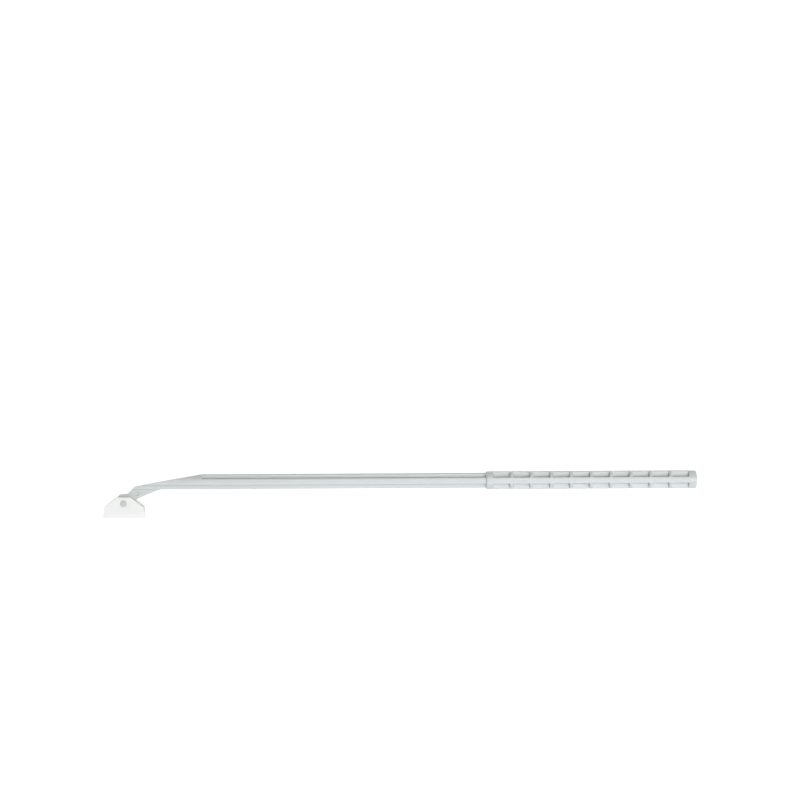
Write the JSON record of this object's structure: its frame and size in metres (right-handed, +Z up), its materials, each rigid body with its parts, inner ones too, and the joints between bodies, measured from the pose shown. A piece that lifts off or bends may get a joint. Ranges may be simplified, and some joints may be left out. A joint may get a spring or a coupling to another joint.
{
  "type": "cell scraper",
  "caption": "Long slim ribbed moulded handle with a bevelled neck and a short soft scraping blade that swivels on round bosses at its tip.",
  "frame": {"origin": "under the middle of the whole tool, on the surface it lies on", "axes": "+X along the handle towards the grip's free end, +Y across the tool away from the scraping edge, +Z up through the flat-lying tool, along the blade's swivel axis"},
  "size_m": [0.25, 0.019, 0.0075],
  "materials": {
    "handle_plastic": "satin",
    "blade_plastic": "matte"
  },
  "bodies": {
    "handle": {"handle": "handle_plastic"},
    "blade": {"blade": "blade_plastic"}
  },
  "joints": [
    {"name": "blade_swivel", "type": "hinge", "parent": "handle", "child": "blade", "pos_m": [-0.11585, -0.00315, 0.00378], "axis": [0, 0, 1], "range_deg": [-90, 37]}
  ]
}
